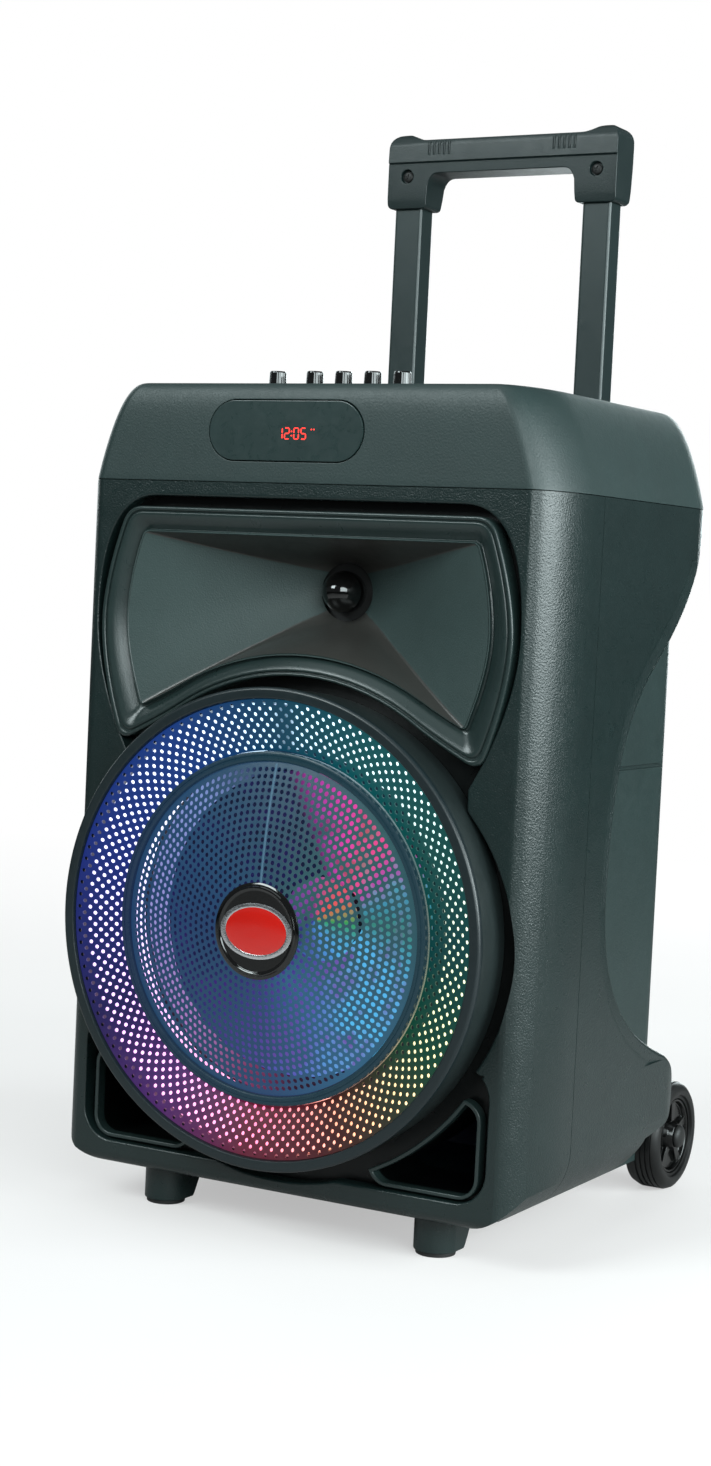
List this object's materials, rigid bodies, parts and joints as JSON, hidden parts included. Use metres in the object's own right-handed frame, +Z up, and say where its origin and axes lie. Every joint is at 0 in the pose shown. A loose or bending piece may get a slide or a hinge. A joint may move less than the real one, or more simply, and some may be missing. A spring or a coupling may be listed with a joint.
{
  "type": "party speaker",
  "caption": "Trolley party speaker with a horn above a round lit woofer grille, top controls, a telescopic pull handle, two wheels and two front feet.",
  "frame": {"origin": "on the ground, midway across and midway between the front of the badge and the rear of the wheels", "axes": "+Z up, the front with the woofer faces -Y, +X to the right seen from the front"},
  "size_m": [0.368, 0.385, 0.784],
  "materials": {
    "cabinet_plastic": "satin charcoal with a fine moulded grain",
    "recess_plastic": "semi-gloss black",
    "horn_plastic": "satin dark grey-green",
    "gloss_black": "high gloss black",
    "grille_metal": "perforated steel, dark satin paint",
    "rim_plastic": "satin blue-grey",
    "light_diffuser": "frosted diffuser over coloured lamps",
    "handle_plastic": "satin charcoal, fine grain",
    "post_metal": "satin charcoal paint on steel tube",
    "steel": "bare steel",
    "black_metal": "matt black paint",
    "cone_paper": "pressed pulp, dull black",
    "rubber": "dull black",
    "smoked_window": "smoked polished plastic",
    "circuit_board": "green solder mask",
    "battery_case": "moulded grey",
    "badge_metal": "turned and clear lacquered"
  },
  "bodies": {
    "cabinet": {"front_shell": "cabinet_plastic", "rear_shell": "cabinet_plastic", "top_cover": "cabinet_plastic", "display_window": "smoked_window", "display_module": "circuit_board", "front_baffle": "recess_plastic", "port_left": "recess_plastic", "port_right": "recess_plastic", "horn_bezel": "horn_plastic", "horn_flare": "horn_plastic", "tweeter_driver": "black_metal", "phase_plug": "gloss_black", "ring_housing": "rim_plastic", "outer_grille": "grille_metal", "inner_ring": "rim_plastic", "inner_grille": "grille_metal", "badge": "badge_metal", "light_ring": "light_diffuser", "woofer_basket": "black_metal", "woofer_magnet": "black_metal", "woofer_surround": "rubber", "control_panel": "gloss_black", "mic_jack_1": "black_metal", "mic_jack_2": "black_metal", "power_inlet": "black_metal", "usb_socket": "steel", "wheel_axle": "steel", "battery": "battery_case", "amplifier_board": "circuit_board", "handle_sleeve_left": "steel", "post_collar_left": "recess_plastic", "wheel_bracket_left": "recess_plastic", "foot_left": "cabinet_plastic", "foot_pad_left": "rubber", "handle_sleeve_right": "steel", "post_collar_right": "recess_plastic", "wheel_bracket_right": "recess_plastic", "foot_right": "cabinet_plastic", "foot_pad_right": "rubber"},
    "handle": {"handle_grip": "handle_plastic", "handle_post_left": "post_metal", "handle_post_right": "post_metal", "grip_screw_left": "steel", "grip_screw_right": "steel"},
    "woofer_motion": {"woofer_cone": "cone_paper", "dust_cap": "cone_paper"},
    "rocker": {"power_switch": "rubber"},
    "knob_1": {"knob_1": "gloss_black"},
    "knob_2": {"knob_2": "gloss_black"},
    "knob_3": {"knob_3": "gloss_black"},
    "knob_4": {"knob_4": "gloss_black"},
    "knob_5": {"knob_5": "gloss_black"},
    "button_1": {"button_1": "rubber"},
    "button_2": {"button_2": "rubber"},
    "button_3": {"button_3": "rubber"},
    "button_4": {"button_4": "rubber"},
    "wheel_left": {"wheel_left": "gloss_black", "wheel_cap_left": "steel"},
    "wheel_right": {"wheel_right": "gloss_black", "wheel_cap_right": "steel"}
  },
  "joints": [
    {"name": "handle_slide", "type": "slide", "parent": "cabinet", "child": "handle", "axis": [0, 0, 1], "range_m": [-0.15, 0]},
    {"name": "cone_travel", "type": "slide", "parent": "cabinet", "child": "woofer_motion", "axis": [0, -1, 0], "range_m": [-0.004, 0.004], "stiffness_N_per_m": 2000},
    {"name": "power_rocker", "type": "hinge", "parent": "cabinet", "child": "rocker", "pos_m": [0.097, -0.066, 0.5699], "axis": [1, 0, 0], "range_deg": [0, 12]},
    {"name": "knob_1_turn", "type": "hinge", "parent": "cabinet", "child": "knob_1", "pos_m": [-0.0587, -0.0995, 0.5714], "axis": [0, 0, 1], "range_deg": [-135, 135]},
    {"name": "knob_2_turn", "type": "hinge", "parent": "cabinet", "child": "knob_2", "pos_m": [-0.0291, -0.0995, 0.5714], "axis": [0, 0, 1], "range_deg": [-135, 135]},
    {"name": "knob_3_turn", "type": "hinge", "parent": "cabinet", "child": "knob_3", "pos_m": [-0.0064, -0.0995, 0.5714], "axis": [0, 0, 1], "range_deg": [-135, 135]},
    {"name": "knob_4_turn", "type": "hinge", "parent": "cabinet", "child": "knob_4", "pos_m": [0.0163, -0.0995, 0.5714], "axis": [0, 0, 1], "range_deg": [-135, 135]},
    {"name": "knob_5_turn", "type": "hinge", "parent": "cabinet", "child": "knob_5", "pos_m": [0.039, -0.0995, 0.5714], "axis": [0, 0, 1], "range_deg": [-135, 135]},
    {"name": "button_1_press", "type": "slide", "parent": "cabinet", "child": "button_1", "axis": [0, 0, 1], "range_m": [-0.0015, 0], "stiffness_N_per_m": 400},
    {"name": "button_2_press", "type": "slide", "parent": "cabinet", "child": "button_2", "axis": [0, 0, 1], "range_m": [-0.0015, 0], "stiffness_N_per_m": 400},
    {"name": "button_3_press", "type": "slide", "parent": "cabinet", "child": "button_3", "axis": [0, 0, 1], "range_m": [-0.0015, 0], "stiffness_N_per_m": 400},
    {"name": "button_4_press", "type": "slide", "parent": "cabinet", "child": "button_4", "axis": [0, 0, 1], "range_m": [-0.0015, 0], "stiffness_N_per_m": 400},
    {"name": "wheel_left_roll", "type": "hinge", "parent": "cabinet", "child": "wheel_left", "pos_m": [-0.152, 0.1525, 0.04], "axis": [1, 0, 0], "continuous": true},
    {"name": "wheel_right_roll", "type": "hinge", "parent": "cabinet", "child": "wheel_right", "pos_m": [0.152, 0.1525, 0.04], "axis": [1, 0, 0], "continuous": true}
  ]
}
